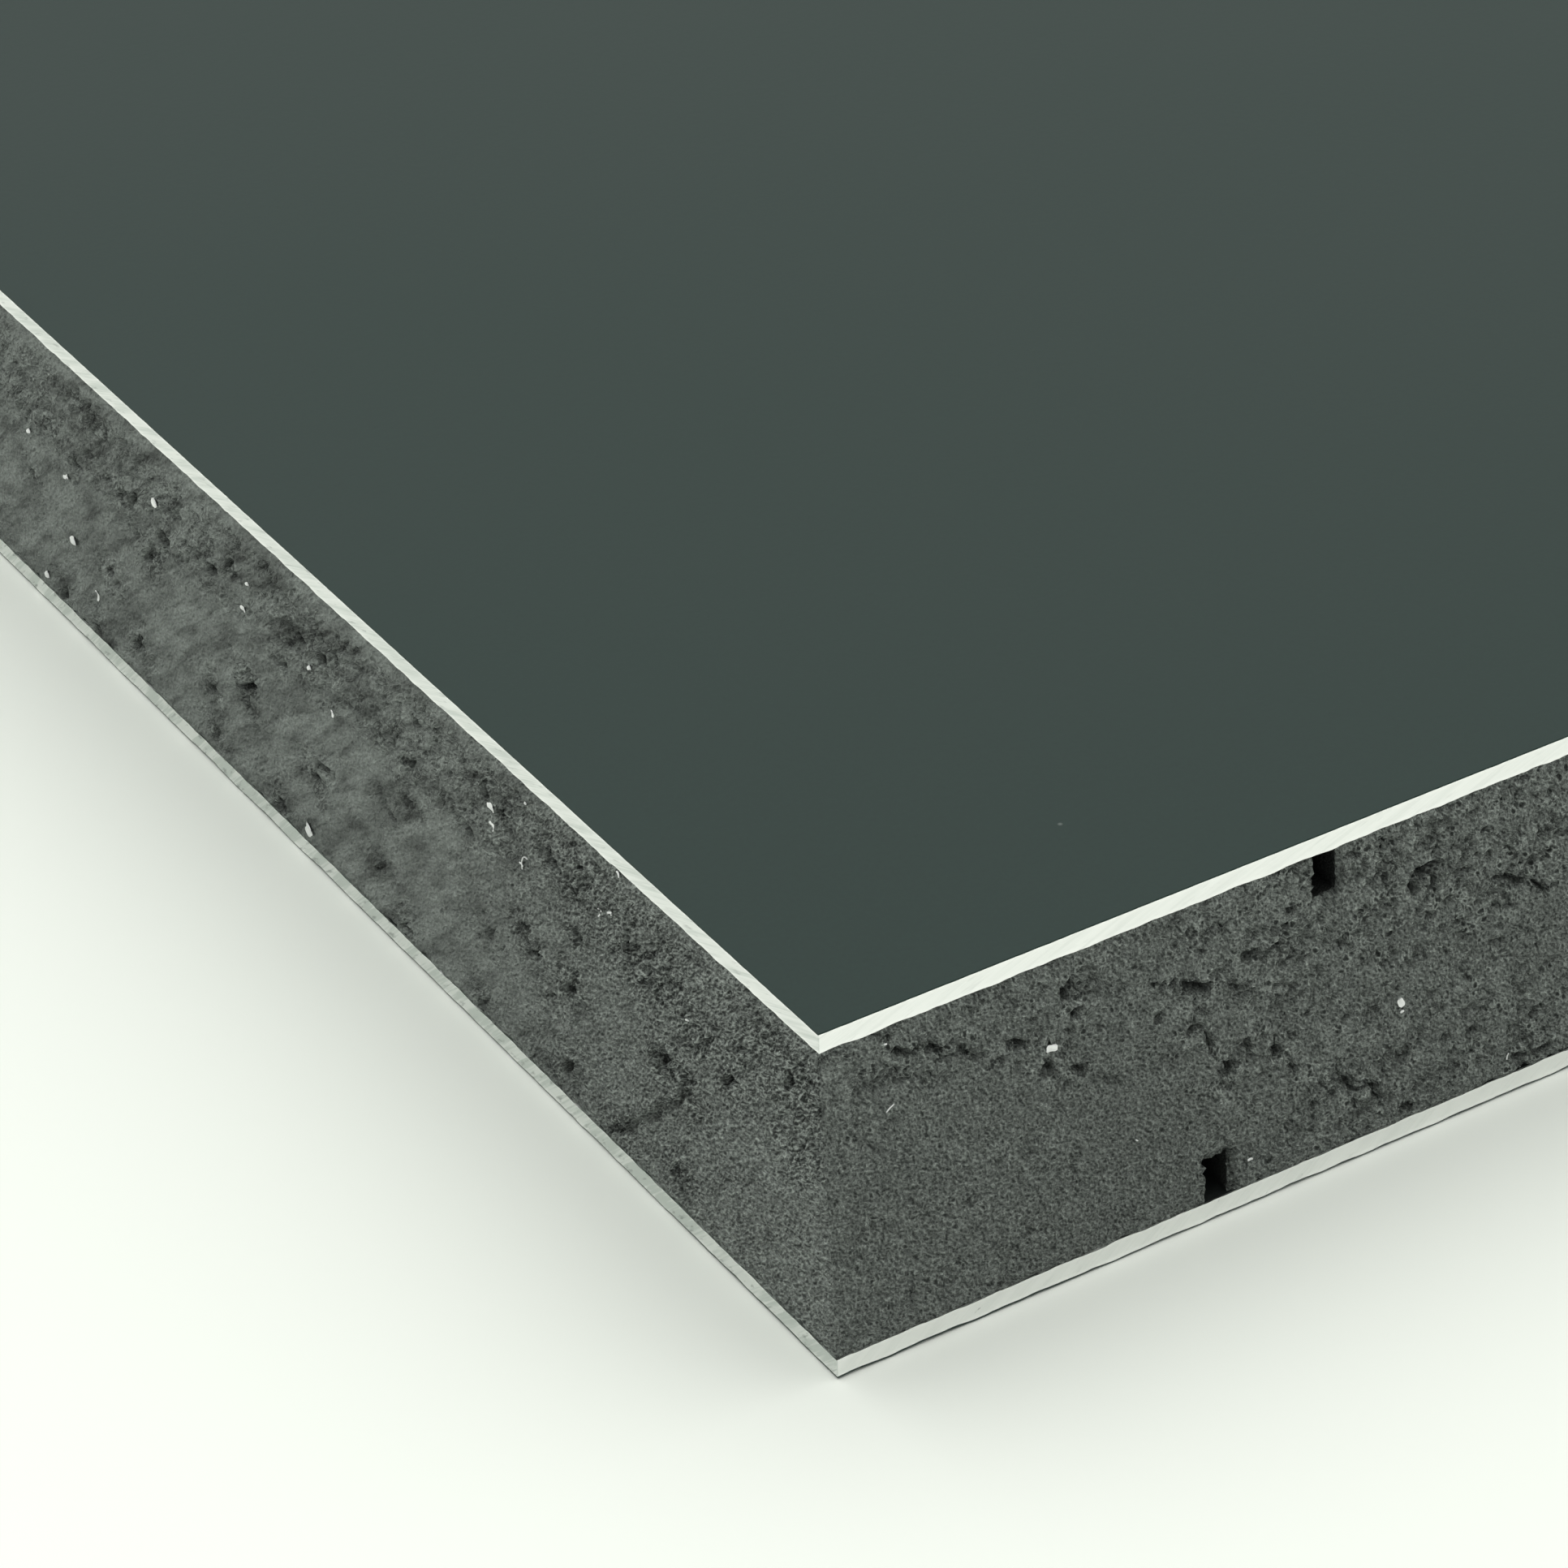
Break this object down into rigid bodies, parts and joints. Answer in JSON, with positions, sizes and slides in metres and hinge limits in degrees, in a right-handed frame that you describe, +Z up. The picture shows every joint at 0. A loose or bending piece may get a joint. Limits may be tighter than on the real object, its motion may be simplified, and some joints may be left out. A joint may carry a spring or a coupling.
{
  "type": "insulated infill panel",
  "caption": "Flat insulated infill panel: coated aluminium sheets bonded to a grey extruded-foam core with narrow vent grooves, sawn square at its edges, to close an opening in a frame.",
  "frame": {"origin": "middle of the underside, where the panel rests on its inner sheet", "axes": "+X across the panel's width, +Y along its length and its vent grooves, +Z up through its thickness towards the outer sheet"},
  "size_m": [0.4, 0.6, 0.028],
  "materials": {
    "coated_sheet": "satin",
    "core_foam": "matte"
  },
  "bodies": {
    "root": {"inner_sheet": "coated_sheet", "foam_core": "core_foam", "outer_sheet": "coated_sheet"}
  },
  "joints": []
}
